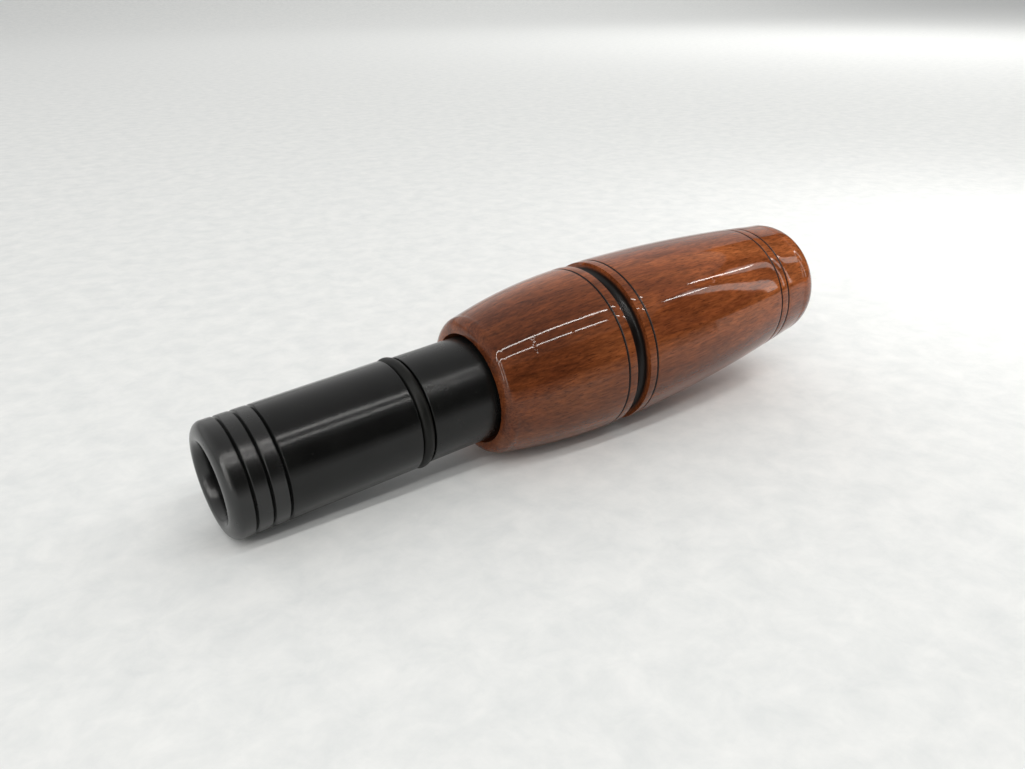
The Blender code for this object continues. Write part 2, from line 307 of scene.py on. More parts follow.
def walnut(name, roughness, coat):
    """Figured walnut, with painted shade that darkens it towards -Y and, less, towards -X. The
    attribute char is 1 where it is burned.
    """
    material, tree, shader = new_material(name)
    figure = noise_value(tree, (12.0, 55.0, 55.0), 4.0, 0.6, 0.9)
    colour = ramp(
        tree,
        figure,
        [
            (0.30, (0.108, 0.027, 0.009)),
            (0.42, (0.190, 0.049, 0.016)),
            (0.52, (0.265, 0.072, 0.022)),
            (0.66, (0.338, 0.100, 0.032)),
            (0.80, (0.243, 0.065, 0.021)),
        ],
    )
    grain = noise_value(tree, (60.0, 560.0, 560.0), 5.0, 0.65, 0.3)
    colour = blend_colour(tree, 0.8, colour, ramp(tree, grain, [(0.3, 0.62), (0.7, 1.32)]), "MULTIPLY")
    fibre = noise_value(tree, (330.0, 2300.0, 2300.0), 3.0, 0.6)
    colour = blend_colour(tree, 0.8, colour, ramp(tree, fibre, [(0.3, 0.5), (0.7, 1.35)]), "MULTIPLY")
    pores = noise_value(tree, (420.0, 3900.0, 3900.0), 2.0, 0.5)
    pore_mask = ramp(tree, pores, [(0.60, 0.0), (0.68, 1.0)])
    colour = blend_colour(tree, maths(tree, "MULTIPLY", pore_mask, 0.55), colour, (0.035, 0.010, 0.005))
    # Painted shade: the colour is darker towards -Y and, less, towards -X, broken up by noise.
    place = node(tree, "ShaderNodeSeparateXYZ", i0=stretched(tree, (8.0, 25.0, 1.0)))
    across = maths(tree, "ADD", place.outputs["X"], place.outputs["Y"])
    drift = maths(tree, "MULTIPLY", noise_value(tree, (14.0, 40.0, 40.0), 2.0, 0.5), 0.7)
    painted_shade = ramp(tree, maths(tree, "ADD", across, drift), [(0.0, 0.50), (0.5, 1.10)])
    colour = blend_colour(tree, 1.0, colour, painted_shade, "MULTIPLY")
    char = node(tree, "ShaderNodeAttribute", {"attribute_name": "char"}).outputs["Fac"]
    colour = blend_colour(tree, char, colour, (0.005, 0.0035, 0.003))
    tree.links.new(colour, shader.inputs["Base Color"])
    rough = ramp(tree, grain, [(0.3, roughness + 0.06), (0.7, roughness - 0.06)])
    tree.links.new(rough, shader.inputs["Roughness"])
    if coat:
        shader.inputs["Specular IOR Level"].default_value = 0.0
        shader.inputs["Coat Weight"].default_value = 1.0
        shader.inputs["Coat Roughness"].default_value = 0.045
        shader.inputs["Coat IOR"].default_value = 1.38
        peel = maths(tree, "MULTIPLY", noise_value(tree, (650.0, 650.0, 650.0), 3.0, 0.5), 0.11)
        height = maths(tree, "ADD", peel, lacquer_runs(tree))
        tree.links.new(bump(tree, height, RUN_HEIGHT), shader.inputs["Coat Normal"])
    else:
        shader.inputs["Specular IOR Level"].default_value = 0.3
        tree.links.new(bump(tree, fibre, 0.00002), shader.inputs["Normal"])
    return material


def black_plastic(name, roughness, specular, lip_light):
    """Turned black acrylic with fine lathe marks, haze and dust. Painted light greys the exhaust lip.
    """
    material, tree, shader = new_material(name)
    haze = noise_value(tree, (220.0, 220.0, 220.0), 4.0, 0.6)
    colour = ramp(tree, haze, [(0.3, (0.0032, 0.0034, 0.0033)), (0.7, (0.0058, 0.0061, 0.0058))])
    dust = noise_value(tree, (2600.0, 2600.0, 2600.0), 2.0, 0.5)
    specks = ramp(tree, dust, [(0.73, 0.0), (0.78, 1.0)])
    colour = blend_colour(tree, maths(tree, "MULTIPLY", specks, 0.4), colour, (0.060, 0.060, 0.056))
    coords = node(tree, "ShaderNodeTexCoord").outputs["Object"]
    along = node(tree, "ShaderNodeSeparateXYZ", i0=coords).outputs["X"]
    # Painted light: the colour turns grey close to the exhaust end. This stands in for the light on the
    # lip and in the mouth of the bore.
    lip_lit = node(tree, "ShaderNodeMapRange", Value=along)
    lip_lit.inputs["From Min"].default_value = EXHAUST_X + LIP_LIGHT_REACH
    lip_lit.inputs["From Max"].default_value = EXHAUST_X
    lip_lit.inputs["To Max"].default_value = lip_light
    colour = blend_colour(tree, lip_lit.outputs["Result"], colour, (0.050, 0.052, 0.052))
    tree.links.new(colour, shader.inputs["Base Color"])
    rough = ramp(tree, haze, [(0.3, roughness - 0.02), (0.7, roughness + 0.02)])
    tree.links.new(rough, shader.inputs["Roughness"])
    turning = noise_value(tree, (5200.0, 60.0, 60.0), 2.0, 0.6)
    tree.links.new(bump(tree, turning, 0.0000005), shader.inputs["Normal"])
    shader.inputs["Specular IOR Level"].default_value = specular
    return material


def ring_rubber():
    """Black rubber, slightly dusty, with the grain of its mould."""
    material, tree, shader = new_material("ring_rubber")
    dust = noise_value(tree, (900.0, 900.0, 900.0), 4.0, 0.65)
    colour = ramp(tree, dust, [(0.35, (0.0035, 0.0036, 0.0032)), (0.75, (0.0075, 0.0078, 0.0066))])
    tree.links.new(colour, shader.inputs["Base Color"])
    tree.links.new(ramp(tree, dust, [(0.3, 0.36), (0.7, 0.52)]), shader.inputs["Roughness"])
    shader.inputs["Specular IOR Level"].default_value = 0.22
    tree.links.new(bump(tree, dust, 0.00001), shader.inputs["Normal"])
    return material


def board_black():
    """Moulded plastic with a matt grain and a few bright scuffs."""
    material, tree, shader = new_material("board_black")
    mottle = noise_value(tree, (400.0, 400.0, 400.0), 4.0, 0.6)
    colour = ramp(tree, mottle, [(0.3, (0.010, 0.010, 0.011)), (0.7, (0.018, 0.018, 0.019))])
    scuff = noise_value(tree, (160.0, 1900.0, 1900.0), 3.0, 0.6, 0.5)
    scuff_mask = maths(tree, "MULTIPLY", ramp(tree, scuff, [(0.66, 0.0), (0.74, 1.0)]), 0.5)
    colour = blend_colour(tree, scuff_mask, colour, (0.060, 0.060, 0.062))
    tree.links.new(colour, shader.inputs["Base Color"])
    tree.links.new(ramp(tree, mottle, [(0.3, 0.38), (0.7, 0.55)]), shader.inputs["Roughness"])
    grain = noise_value(tree, (4200.0, 4200.0, 4200.0), 2.0, 0.5)
    tree.links.new(bump(tree, grain, 0.000012), shader.inputs["Normal"])
    return material


def reed_film():
    """Milky polyester film. Its face is sanded along the reed."""
    material, tree, shader = new_material("reed_film")
    cloud = noise_value(tree, (300.0, 300.0, 300.0), 3.0, 0.5)
    colour = ramp(tree, cloud, [(0.3, (0.74, 0.77, 0.77)), (0.7, (0.84, 0.86, 0.85))])
    tree.links.new(colour, shader.inputs["Base Color"])
    sanding = noise_value(tree, (260.0, 5200.0, 5200.0), 3.0, 0.6)
    tree.links.new(ramp(tree, sanding, [(0.3, 0.20), (0.7, 0.42)]), shader.inputs["Roughness"])
    tree.links.new(bump(tree, sanding, 0.000004), shader.inputs["Normal"])
    shader.inputs["IOR"].default_value = 1.57
    shader.inputs["Transmission Weight"].default_value = 0.45
    return material


def cork():
    """Pressed cork granules with dark seams between them."""
    material, tree, shader = new_material("cork")
    cells = node(
        tree, "ShaderNodeTexVoronoi", Vector=stretched(tree, (1400.0, 1400.0, 1400.0)), Scale=1.0
    )
    tone = node(tree, "ShaderNodeSeparateColor", Color=cells.outputs["Color"]).outputs[0]
    colour = ramp(
        tree,
        tone,
        [
            (0.00, (0.26, 0.13, 0.06)),
            (0.35, (0.42, 0.25, 0.13)),
            (0.75, (0.52, 0.33, 0.18)),
            (1.00, (0.34, 0.19, 0.09)),
        ],
    )
    seam = ramp(tree, cells.outputs["Distance"], [(0.50, 0.0), (0.75, 1.0)])
    colour = blend_colour(tree, maths(tree, "MULTIPLY", seam, 0.7), colour, (0.10, 0.045, 0.02))
    tree.links.new(colour, shader.inputs["Base Color"])
    shader.inputs["Roughness"].default_value = 0.88
    pits = noise_value(tree, (3000.0, 3000.0, 3000.0), 3.0, 0.6)
    height = maths(tree, "SUBTRACT", pits, maths(tree, "MULTIPLY", seam, 0.6))
    tree.links.new(bump(tree, height, 0.00008), shader.inputs["Normal"])
    return material


def paper():
    """White wrapping paper, faintly mottled."""
    material, tree, shader = new_material("paper")
    mottle = noise_value(tree, (130.0, 130.0, 130.0), 7.0, 0.68, 0.3)
    colour = ramp(tree, mottle, [(0.3, (0.735, 0.756, 0.758)), (0.7, (0.848, 0.858, 0.852))])
    tree.links.new(colour, shader.inputs["Base Color"])
    shader.inputs["Roughness"].default_value = 0.8
    fibres = noise_value(tree, (900.0, 900.0, 900.0), 4.0, 0.6)
    tree.links.new(bump(tree, fibres, 0.00003), shader.inputs["Normal"])
    return material


def dark_cloth():
    """The dark side of the room, paler towards the paper. It is seen only in reflections."""
    material, tree, shader = new_material("dark_cloth")
    folds = noise_value(tree, (9.0, 9.0, 9.0), 3.0, 0.5)
    colour = ramp(tree, folds, [(0.3, (0.006, 0.006, 0.007)), (0.7, (0.030, 0.028, 0.026))])
    height = node(tree, "ShaderNodeSeparateXYZ", i0=stretched(tree, (1.0, 1.0, 40.0))).outputs["Z"]
    colour = blend_colour(tree, ramp(tree, height, [(0.0, 1.0), (1.0, 0.0)]), colour, (0.7, 0.7, 0.7))
    tree.links.new(colour, shader.inputs["Base Color"])
    shader.inputs["Roughness"].default_value = 1.0
    return material


MATERIALS = {
    "walnut": walnut("walnut", 0.50, coat=True),
    "walnut_bore": walnut("walnut_bore", 0.60, coat=False),
    "walnut_groove": walnut("walnut_groove", 0.34, coat=False),
    "polished_black": black_plastic("polished_black", 0.18, 0.34, 0.0),
    # The lip's material is rougher, and its colour carries painted light near the exhaust end.
    "lit_lip_black": black_plastic("lit_lip_black", 0.26, 0.60, 0.35),
    "satin_black": black_plastic("satin_black", 0.26, 0.34, 0.0),
    "bore_black": black_plastic("bore_black", 0.46, 0.20, 0.0),
    "ring_rubber": ring_rubber(),
    "board_black": board_black(),
    "reed_film": reed_film(),
    "cork": cork(),
    "paper": paper(),
    "dark_cloth": dark_cloth(),
}


def arc(station, radius, along, across, start, end, steps):
    """Points of an ellipse in the profile plane: 0 degrees points to the mouth, 90 outwards."""
    points = []
    for step in range(steps + 1):
        angle = math.radians(start + (end - start) * step / steps)
        points.append((station + along * math.cos(angle), radius + across * math.sin(angle)))
    return points


def smooth_step(low, high, value):
    share = min(1.0, max(0.0, (value - low) / (high - low)))
    return share * share * (3.0 - 2.0 * share)


def notch_depth(offset, width, depth):
    """Depth of a V notch with softened edges at an offset from its middle."""
    reach = min(1.0, abs(offset) / (width / 2))
    return depth * (1.0 - reach) ** NOTCH_POWER


def lathe(name, outline, materials, attribute=None):
    """A closed body of revolution. The outline runs down its outer side, mouth end first.

    An outline point is (station, radius, material index, attribute value).
    """
    verts = []
    values = []
    for station, radius, _slot, value in outline:
        for turn in range(TURNS):
            angle = 2 * math.pi * turn / TURNS
            verts.append((EXHAUST_X + station, radius * math.cos(angle), radius * math.sin(angle)))
            values.append(value)
    faces = []
    slots = []
    for row, point in enumerate(outline):
        here = row * TURNS
        below = (row + 1) % len(outline) * TURNS
        for turn in range(TURNS):
            beside = (turn + 1) % TURNS
            faces.append((here + turn, below + turn, below + beside, here + beside))
            slots.append(point[2])
    mesh = bpy.data.meshes.new(name)
    mesh.from_pydata(verts, [], faces)
    mesh.polygons.foreach_set("material_index", slots)
    if attribute:
        mesh.attributes.new(attribute, "FLOAT", "POINT").data.foreach_set("value", values)
    for material in materials:
        mesh.materials.append(MATERIALS[material])
    mesh.shade_smooth()
    mesh.set_sharp_from_angle(angle=SHARP_ANGLE)
    obj = bpy.data.objects.new(name, mesh)
    bpy.context.scene.collection.objects.link(obj)
    return obj


def tagged(points, slot):
    """Points of an outline with a material index and an attribute value of 0."""
    return [(station, radius, slot, 0.0) for station, radius in points]


def detail_stations(middle, reach, count):
    """Stations close together across a line or a groove."""
    return [middle + reach * share / count for share in range(-count, count + 1)]


def barrel_side(start, end):
    """The lacquered side from one station to another, with its burned lines and lanyard groove."""
    cove = LANYARD_WIDTH / 2
    count = math.ceil((start - end) / LACQUER_STEP)
    stations = [start + (end - start) * step / count for step in range(count + 1)]
    for line in BURN_LINES:
        stations += detail_stations(line, BURN_WIDTH * 0.6, 8)
        stations += detail_stations(line, EDGE_ROLL_REACH * 2, 12)
    stations += detail_stations(LANYARD_STATION, cove * 1.03, 40)
    edges = [*BURN_LINES, LANYARD_STATION - cove, LANYARD_STATION + cove]
    outline = []
    for station in sorted(set(stations), reverse=True):
        radius = side_radius(station)
        nearest = min(abs(station - edge) for edge in edges)
        radius -= EDGE_ROLL * math.exp(-nearest / EDGE_ROLL_REACH)
        char = 0.0
        slot = LACQUERED
        for line in BURN_LINES:
            depth = notch_depth(station - line, BURN_WIDTH, BURN_DEPTH)
            radius -= depth
            char = max(char, smooth_step(0.0, 0.25, depth / BURN_DEPTH))
            if depth > 0.0:
                slot = CHARRED
        offset = (station - LANYARD_STATION) / cove
        if abs(offset) < 1.0:
            radius -= LANYARD_DEPTH * math.sqrt(1.0 - abs(offset) ** COVE_POWER)
            burned = smooth_step(CHAR_START, CHAR_FULL, offset) - smooth_step(CHAR_FADE, 1.0, offset)
            char = max(char, burned)
            slot = CHARRED
        outline.append((station, radius, slot, char))
    return outline


def make_barrel():
    mouth_rim = LENGTH - MOUTH_RIM_LENGTH
    mouth_radius = side_radius(mouth_rim) - MOUTH_RIM_DEPTH
    rear_rim = BARREL_STATION + REAR_RIM_LENGTH
    rear_radius = side_radius(rear_rim) - REAR_RIM_DEPTH
    outline = tagged([(LENGTH, CHAMBER_RADIUS + MOUTH_BEVEL)], LACQUERED)
    mouth_end = arc(mouth_rim, mouth_radius, MOUTH_RIM_LENGTH, MOUTH_RIM_DEPTH, 0, 89, 28)
    outline += tagged(mouth_end, LACQUERED)
    outline += barrel_side(mouth_rim, rear_rim)
    rear_end = arc(rear_rim, rear_radius, REAR_RIM_LENGTH, REAR_RIM_DEPTH, 91, 180, 26)
    outline += tagged(rear_end, LACQUERED)
    outline += tagged(
        [
            (BARREL_STATION + COUNTERSINK, BORE_RADIUS),
            (BORE_STEP, BORE_RADIUS),
            (BORE_STEP, CHAMBER_RADIUS),
        ],
        BARE,
    )
    outline += tagged([(LENGTH - MOUTH_BEVEL, CHAMBER_RADIUS)], LACQUERED)
    barrel = lathe(
        "lacquered_barrel", outline, ("walnut", "walnut_bore", "walnut_groove"), attribute="char"
    )
    for vertex in barrel.data.vertices:
        radius = math.hypot(vertex.co.y, vertex.co.z)
        swell = smooth_step(MOUTH_WAVE_START, MOUTH_WAVE_END, vertex.co.x - EXHAUST_X)
        wave = (WAVE_HEIGHT + MOUTH_WAVE_HEIGHT * swell) * noise.noise(vertex.co * WAVE_FREQUENCY)
        wave *= smooth_step(BORE_RADIUS, BORE_RADIUS + WAVE_FADE, radius)
        vertex.co.y *= 1 + wave / radius
        vertex.co.z *= 1 + wave / radius
    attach(barrel, "barrel")
    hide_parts("barrel")


def ring_groove(station, mouth_radius):
    """A square groove for a ring, as far as the edge of its exhaust wall."""
    mouth_wall = station + RING_SECTION / 2 + RING_ROOM
    exhaust_wall = station - RING_SECTION / 2 - RING_SEAT_ROOM
    floor = RING_OUTER - RING_SECTION - RING_ROOM
    return [
        (mouth_wall + EDGE_BREAK / 3, mouth_radius),
        (mouth_wall, mouth_radius - EDGE_BREAK / 3),
        (mouth_wall, floor),
        (exhaust_wall, floor),
    ]


def groove_edge(station, radius):
    """The rounded edge between a ring's groove and the side on its exhaust side."""
    exhaust_wall = station - RING_SECTION / 2 - RING_SEAT_ROOM
    return arc(exhaust_wall - EDGE_BREAK, radius - EDGE_BREAK, EDGE_BREAK, EDGE_BREAK, 0, 90, 6)


def make_insert():
    lip_inner = INSERT_RADIUS - LIP_DEPTH
    shoulder = TENON_STATION + RING_SEAT_ROOM + RING_SECTION / 2
    inner_ring = (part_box("o_ring_inner")[0].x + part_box("o_ring_inner")[1].x) / 2 - EXHAUST_X
    outline = tagged(
        [(TENON_END, TENON_RADIUS - EDGE_BREAK), (TENON_END - EDGE_BREAK, TENON_RADIUS)], SATIN
    )
    outline += tagged(ring_groove(inner_ring, TENON_RADIUS), SATIN)
    outline += tagged(groove_edge(inner_ring, TENON_RADIUS), SATIN)
    outline += tagged(ring_groove(shoulder, TENON_RADIUS), SATIN)
    outline += tagged(groove_edge(shoulder, INSERT_RADIUS), POLISHED)
    for groove in V_GROOVES:
        for station in reversed(detail_stations(groove, V_WIDTH * 1.5, 30)):
            depth = notch_depth(station - groove, V_WIDTH, V_DEPTH)
            depth += RIDGE_ROLL * math.exp(-abs(station - groove) / (V_WIDTH / 2))
            slot = LIT_LIP if station < V_GROOVES[0] else POLISHED
            outline.append((station, INSERT_RADIUS - depth, slot, 0.0))
    outline += tagged(arc(LIP_LENGTH, lip_inner, LIP_LENGTH, LIP_DEPTH, 90, 178, 30), LIT_LIP)
    bell = arc(
        MOUTH_ROUND_LENGTH, lip_inner, MOUTH_ROUND_LENGTH, MOUTH_ROUND_DEPTH, 182, 270, 24
    )
    outline += tagged(bell, LIT_LIP)
    flare = EXHAUST_FLARE - MOUTH_ROUND_LENGTH
    for step in range(1, FLARE_STEPS + 1):
        reach = step / FLARE_STEPS
        narrowing = (lip_inner - MOUTH_ROUND_DEPTH - THROAT_RADIUS) * (1 - reach) ** FLARE_POWER
        outline.append((MOUTH_ROUND_LENGTH + flare * reach, THROAT_RADIUS + narrowing, BORED, 0.0))
    outline += tagged(
        [
            (SPIGOT_START - FIT_GAP, THROAT_RADIUS),
            (SPIGOT_START - FIT_GAP, SPIGOT_RADIUS + FIT_GAP),
            (TENON_END, SPIGOT_RADIUS + FIT_GAP),
        ],
        BORED,
    )
    insert = lathe(
        "black_insert", outline, ("polished_black", "satin_black", "bore_black", "lit_lip_black")
    )
    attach(insert, "insert")
    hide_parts("insert")


def make_ring(cad_name):
    low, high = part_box(cad_name)
    station = (low.x + high.x) / 2 - EXHAUST_X
    section = RING_SECTION / 2
    circle = arc(station, RING_OUTER - section, section, section, 0, 360, RING_SIDES)[:-1]
    ring = lathe(cad_name + "_moulded", tagged(circle, 0), ("ring_rubber",))
    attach(ring, "seals")
    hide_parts(cad_name)


def solid(name, rings, material):
    """A closed body through rings of equally many points, with a flat face on each end."""
    count = len(rings[0])
    verts = [point for ring in rings for point in ring]
    faces = [tuple(reversed(range(count))), tuple(range((len(rings) - 1) * count, len(rings) * count))]
    for row in range(len(rings) - 1):
        for here in range(count):
            beside = (here + 1) % count
            low = row * count
            high = low + count
            faces.append((low + here, low + beside, high + beside, high + here))
    mesh = bpy.data.meshes.new(name)
    mesh.from_pydata(verts, [], faces)
    fixed = bmesh.new()
    fixed.from_mesh(mesh)
    bmesh.ops.recalc_face_normals(fixed, faces=fixed.faces)
    fixed.to_mesh(mesh)
    fixed.free()
    mesh.materials.append(MATERIALS[material])
    mesh.shade_smooth()
    mesh.set_sharp_from_angle(angle=SHARP_ANGLE)
    obj = bpy.data.objects.new(name, mesh)
    bpy.context.scene.collection.objects.link(obj)
    return obj


def shrunk(ring, inset):
    """The ring with each point nearer to the ring's middle by a distance."""
    middle = sum(ring, Vector()) / len(ring)
    return [point + (middle - point).normalized() * inset for point in ring]


def resampled(ring, spacing):
    """The ring with more points, none further from the next than the spacing."""
    points = []
    for here, beside in zip(ring, ring[1:] + ring[:1]):
        steps = max(1, math.ceil((beside - here).length / spacing))
        points += [here.lerp(beside, step / steps) for step in range(steps)]
    return points


def arch_ring(station, half_width, floor, arch):
    """A cross-section with a flat floor, upright sides and a round top about the axis."""
    side_angle = math.asin(half_width / arch)
    ring = [Vector((EXHAUST_X + station, half_width, floor))]
    for step in range(ARCH_STEPS + 1):
        angle = side_angle - 2 * side_angle * step / ARCH_STEPS
        ring.append(Vector((EXHAUST_X + station, arch * math.sin(angle), arch * math.cos(angle))))
    ring.append(Vector((EXHAUST_X + station, -half_width, floor)))
    return ring


def carve(body, operation, tool):
    """Join or cut the body with the tool, and remove the tool."""
    modifier = body.modifiers.new(operation.lower(), "BOOLEAN")
    modifier.operation = operation
    modifier.solver = "EXACT"
    modifier.object = tool
    settle(body)
    bpy.data.objects.remove(tool, do_unlink=True)


def settle(body):
    """Apply the modifiers of a body."""
    graph = bpy.context.evaluated_depsgraph_get()
    graph.update()
    mesh = bpy.data.meshes.new_from_object(body.evaluated_get(graph))
    body.modifiers.clear()
    body.data = mesh


def make_tone_board():
    """Collar with the reed slot, spigot behind it, curved board in front and channel through all."""
    outline = [
        (COLLAR_END, POLE_RADIUS),
        (COLLAR_END, COLLAR_RADIUS - EDGE_BREAK),
        (COLLAR_END - EDGE_BREAK, COLLAR_RADIUS),
        (COLLAR_START + EDGE_BREAK, COLLAR_RADIUS),
        (COLLAR_START, COLLAR_RADIUS - EDGE_BREAK),
        (COLLAR_START, SPIGOT_RADIUS),
        (SPIGOT_START + EDGE_BREAK, SPIGOT_RADIUS),
        (SPIGOT_START, SPIGOT_RADIUS - EDGE_BREAK),
        (SPIGOT_START, POLE_RADIUS),
    ]
    rings = [circle_ring(station, radius, 0.0) for station, radius in outline]
    board = solid("moulded_tone_board", rings, "board_black")

    heel = COLLAR_END - HEEL_DEPTH
    face = []
    for step in range(FACE_STEPS + 1):
        reach = BOARD_LENGTH * step / FACE_STEPS
        face.append((COLLAR_END + reach, BOARD_FACE - reach**2 / (2 * BOARD_CURVE)))
    under = -BOARD_RADIUS * STOCK_REACH
    side = [(heel, BOARD_FACE - FACE_OVERLAP), *face, (BOARD_END, under), (heel, under)]
    edges = []
    for across in (-BOARD_HALF_WIDTH, BOARD_HALF_WIDTH):
        edges.append([Vector((EXHAUST_X + station, across, height)) for station, height in side])
    tongue = solid("tongue", edges, "board_black")
    stock = [
        circle_ring(heel - TOOL_MARGIN, BOARD_RADIUS, 0.0),
        circle_ring(BOARD_END + TOOL_MARGIN, BOARD_RADIUS, 0.0),
    ]
    carve(tongue, "INTERSECT", solid("stock", stock, "board_black"))
    carve(board, "UNION", tongue)

    slot = []
    for station in (SLOT_BACK, COLLAR_END + TOOL_MARGIN):
        slot.append(arch_ring(station, SLOT_HALF_WIDTH, BOARD_FACE, SLOT_ARCH))
    carve(board, "DIFFERENCE", solid("reed_slot", slot, "board_black"))
    channel = [
        circle_ring(SPIGOT_START - TOOL_MARGIN, CHANNEL_ROOT_RADIUS, CHANNEL_ROOT_HEIGHT),
        circle_ring(BOARD_END - CHANNEL_SETBACK, CHANNEL_TIP_RADIUS, CHANNEL_TIP_HEIGHT),
    ]
    carve(board, "DIFFERENCE", solid("sound_channel", channel, "board_black"))
    weld = board.modifiers.new("weld", "WELD")
    weld.merge_threshold = WELD_DISTANCE
    rounding = board.modifiers.new("edges", "BEVEL")
    rounding.width = BOARD_EDGE
    rounding.segments = 2
    rounding.limit_method = "ANGLE"
    rounding.angle_limit = BOARD_EDGE_ANGLE
    settle(board)
    board.data.shade_smooth()
    board.data.set_sharp_from_angle(angle=BOARD_SHARP_ANGLE)
    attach(board, "insert")
    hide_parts("tone_board")


def circle_ring(station, radius, height):
    """A circle across the axis, with its middle at a height over the axis."""
    ring = []
    for side in range(BOARD_SIDES):
        angle = 2 * math.pi * side / BOARD_SIDES
        ring.append(
            Vector((EXHAUST_X + station, radius * math.cos(angle), height + radius * math.sin(angle)))
        )
    return ring


def make_reed(cad_name):
    """A flat strip with a rounded free end and fine bevelled edges."""
    low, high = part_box(cad_name)
    half_width = high.y
    corner_y = half_width - REED_CORNER
    corner_x = high.x - REED_CORNER
    tip = []
    for side, start in ((-1, -90), (1, 0)):
        for x, y in arc(0, 0, REED_CORNER, REED_CORNER, start, start + 90, 16):
            tip.append((corner_x + x, side * corner_y + y))
    flat = [(low.x, -half_width), *tip, (low.x, half_width)]
    layers = (
        (low.z, REED_EDGE),
        (low.z + REED_EDGE, 0.0),
        (high.z - REED_EDGE, 0.0),
        (high.z, REED_EDGE),
    )
    rings = []
    for height, inset in layers:
        ring = resampled([Vector((x, y, height)) for x, y in flat], REED_SPACING)
        rings.append(shrunk(ring, inset))
    reed = solid(cad_name + "_strip", rings, "reed_film")
    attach(reed, cad_name)
    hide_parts(cad_name)


def make_wedge():
    """A block of pressed cork: rounded edges and a grainy skin."""
    low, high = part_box("wedge")
    length = high.x - low.x
    start = low.x - EXHAUST_X
    rings = [(start, inset + WEDGE_EDGE) for inset in WEDGE_END_INSETS]
    for step in range(WEDGE_STEPS + 1):
        reach = step / WEDGE_STEPS
        from_end = min(reach, 1 - reach) * length
        inset = WEDGE_EDGE * (1 - math.sqrt(smooth_step(0.0, WEDGE_EDGE, from_end)))
        rings.append((start + reach * length, inset))
    rings += [(start + length, inset + WEDGE_EDGE) for inset in reversed(WEDGE_END_INSETS)]
    skins = []
    for station, inset in rings:
        ring = resampled(arch_ring(station, high.y, low.z, WEDGE_ARCH), CORK_SPACING)
        skins.append(shrunk(ring, inset))
    wedge = solid("cork_wedge", skins, "cork")
    middle = (low + high) / 2
    for vertex in wedge.data.vertices:
        pit = 1 - noise.noise(vertex.co * CORK_FREQUENCY)
        vertex.co += (middle - vertex.co).normalized() * CORK_GRAIN * pit
    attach(wedge, "wedge")
    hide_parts("wedge")


# The stage: the call lies on its belly and its exhaust end, so the floor is tilted under it.
BELLY_X = EXHAUST_X + BELLY_STATION
FLOOR_TILT = math.radians(4.6)

# The paper lies flat from its front to the start of the sweep, and bends up from there.
PAPER_HALF_WIDTH = 8.0
PAPER_FRONT = -3.0
SWEEP_START = 1.70
SWEEP_RADIUS = 2.50
SWEEP_END = 40.0
SWEEP_STEPS = 24

LAMP_COLOUR = (1.0, 0.985, 0.955)

# Two rows of room tubes parallel to the call, with a gap in each: name, start, end, across.
TUBE_HEIGHT = 1.60
TUBE_WIDTH = 0.04
TUBE_RADIANCE = 28.0
TUBES = (
    ("tube_0_near", -5.0, 1.08, -0.69),
    ("tube_0_far", 1.65, 2.30, -0.69),
    ("tube_1_near", -5.0, 1.08, -1.19),
    ("tube_1_far", 1.65, 2.10, -1.19),
)

# Windows: name, bearing from +X in degrees, distance, bottom, top, width, radiance.
WINDOWS = (
    ("window_upper", -17.0, 3.0, 0.85, 1.87, 0.30, 2.5),
    ("window_lower", -30.0, 3.2, 0.02, 1.95, 0.22, 3.2),
    ("window_left", -143.0, 3.0, 0.05, 2.20, 0.14, 12.0),
    ("window_rear", -162.0, 3.0, 0.05, 2.20, 0.14, 12.0),
)

# Fills over the paper: name, place, size, radiance.
FILLS = (
    ("near_fill", (0.25, 0.00, 0.13), 0.10, 5.0),
    ("far_fill", (1.40, 0.75, 0.70), 0.60, 4.2),
    ("back_fill", (0.70, 1.40, 1.00), 0.80, 1.1),
    ("deep_fill", (2.00, 2.60, 1.20), 1.00, 1.8),
)

# Dark sheets for the reflections: one leans away beside the call, one stands past the mouthpiece.
DARK_SIDE = (
    (-0.10, -0.08, 0.00),
    (0.10, -0.08, 0.00),
    (0.38, -0.40, 0.33),
    (-0.30, -0.40, 0.33),
)
DARK_WALL = ((3.4, -6.0, 0.0), (3.4, 1.5, 0.0), (3.4, 1.5, 3.0), (3.4, -6.0, 3.0))

# The room's light is at its level to the sides and above, and leans towards what is behind.
ROOM_COLOUR = (1.0, 0.995, 0.985, 1.0)
ROOM_LEAN = (-0.02, 0.36, 0.0)
ROOM_LEVEL = 0.51

CAMERA_SENSOR = 36.0
CAMERA_LENS = 31.74
CAMERA_PLACE = (EXHAUST_X - 0.0291, -0.14197, 0.08237)
CAMERA_TURN = (63.334, 3.771, -35.302)
CAMERA_CLIP = 0.005


def floor_matrix():
    """The floor's middle is under the belly. It falls towards the mouthpiece."""
    turn = Matrix.Rotation(FLOOR_TILT, 4, "Y")
    normal = turn @ Vector((0, 0, 1))
    contact = Vector((BELLY_X, 0, 0)) - normal * BELLY_RADIUS
    return Matrix.Translation(contact) @ turn


def make_floor():
    """A sheet of paper that lies under the call and sweeps up behind it."""
    run = [(PAPER_FRONT, 0.0), (SWEEP_START, 0.0)]
    for step in range(1, SWEEP_STEPS + 1):
        angle = math.radians(SWEEP_END * step / SWEEP_STEPS)
        rise = SWEEP_RADIUS * (1 - math.cos(angle))
        run.append((SWEEP_START + SWEEP_RADIUS * math.sin(angle), rise))
    verts = []
    for across, height in run:
        verts += [(-PAPER_HALF_WIDTH, across, height), (PAPER_HALF_WIDTH, across, height)]
    faces = [(row * 2, row * 2 + 1, row * 2 + 3, row * 2 + 2) for row in range(len(run) - 1)]
    mesh = bpy.data.meshes.new("paper_sweep")
    mesh.from_pydata(verts, [], faces)
    mesh.shade_smooth()
    mesh.materials.append(MATERIALS["paper"])
    floor = bpy.data.objects.new("paper_sweep", mesh)
    bpy.context.scene.collection.objects.link(floor)
    floor.matrix_world = floor_matrix()


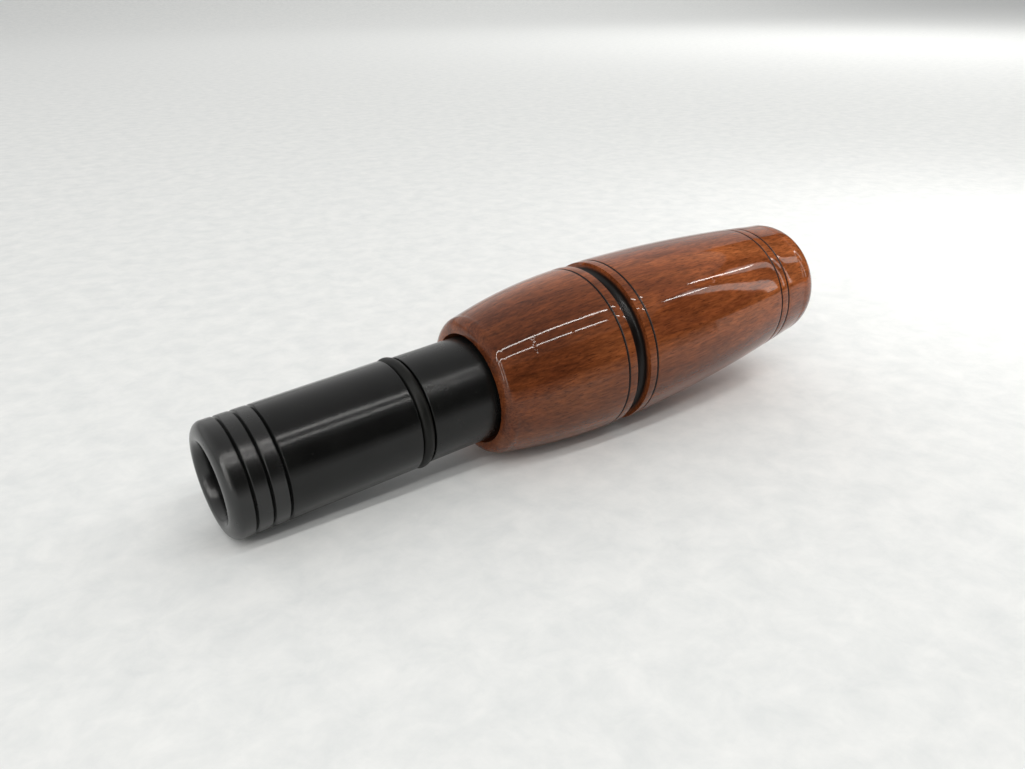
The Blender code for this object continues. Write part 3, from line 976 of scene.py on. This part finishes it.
def make_lamp(name, matrix, length, width, radiance):
    """A strip light that shines along its local -Z and stays out of the camera's sight."""
    data = bpy.data.lights.new(name, "AREA")
    data.shape = "RECTANGLE"
    data.size = length
    data.size_y = width
    data.energy = radiance * math.pi * length * width
    data.color = LAMP_COLOUR
    lamp = bpy.data.objects.new(name, data)
    bpy.context.scene.collection.objects.link(lamp)
    lamp.matrix_world = matrix
    lamp.visible_camera = False
    return lamp


def make_tube(name, start, end, across):
    """A long tube parallel to the call, at a height above the floor."""
    place = Matrix.Translation(((start + end) / 2 - BELLY_X, across, TUBE_HEIGHT))
    make_lamp(name, floor_matrix() @ place, end - start, TUBE_WIDTH, TUBE_RADIANCE)


def make_window(name, bearing, distance, bottom, top, width, radiance):
    """An upright bright strip some way off, at a bearing from +X, that faces the call."""
    turn = math.radians(bearing)
    middle = Vector((distance * math.cos(turn), distance * math.sin(turn), (bottom + top) / 2))
    facing = (-middle.normalized()).to_track_quat("-Z", "X").to_matrix().to_4x4()
    make_lamp(name, Matrix.Translation(middle) @ facing, top - bottom, width, radiance)


def make_backing(name, corners):
    """A dark sheet that only reflections see."""
    mesh = bpy.data.meshes.new(name)
    mesh.from_pydata(corners, [], [tuple(range(len(corners)))])
    mesh.materials.append(MATERIALS["dark_cloth"])
    backing = bpy.data.objects.new(name, mesh)
    bpy.context.scene.collection.objects.link(backing)
    backing.matrix_world = floor_matrix()
    backing.visible_camera = False
    backing.visible_diffuse = False
    backing.visible_shadow = False


def make_fill(name, place, size, radiance):
    """A soft square light that shines down on the paper. It shows in no reflection."""
    lamp = make_lamp(name, Matrix.Translation(place), size, size, radiance)
    lamp.visible_glossy = False


def make_world():
    """Room light, brighter behind the call than before it."""
    world = bpy.data.worlds.new("room")
    bpy.context.scene.world = world
    world.use_nodes = True
    tree = world.node_tree
    background = tree.nodes["Background"]
    background.inputs["Color"].default_value = ROOM_COLOUR
    direction = node(tree, "ShaderNodeTexCoord").outputs["Generated"]
    lean = node(tree, "ShaderNodeVectorMath", {"operation": "DOT_PRODUCT"}, i0=direction)
    lean.inputs[1].default_value = ROOM_LEAN
    strength = maths(tree, "ADD", lean.outputs["Value"], ROOM_LEVEL)
    tree.links.new(strength, background.inputs["Strength"])


def make_lights():
    for tube in TUBES:
        make_tube(*tube)
    for window in WINDOWS:
        make_window(*window)
    for fill in FILLS:
        make_fill(*fill)
    make_world()
    make_backing("dark_side", DARK_SIDE)
    make_backing("dark_wall", DARK_WALL)


def make_camera():
    data = bpy.data.cameras.new("camera")
    data.sensor_width = CAMERA_SENSOR
    data.lens = CAMERA_LENS
    data.clip_start = CAMERA_CLIP
    camera = bpy.data.objects.new("camera", data)
    bpy.context.scene.collection.objects.link(camera)
    camera.location = CAMERA_PLACE
    camera.rotation_euler = [math.radians(angle) for angle in CAMERA_TURN]
    bpy.context.scene.camera = camera


make_barrel()
make_insert()
make_ring("o_ring_shoulder")
make_ring("o_ring_inner")
make_tone_board()
make_reed("long_reed")
make_reed("short_reed")
make_wedge()
make_floor()
make_lights()
make_camera()
bpy.context.scene.view_settings.view_transform = "Standard"
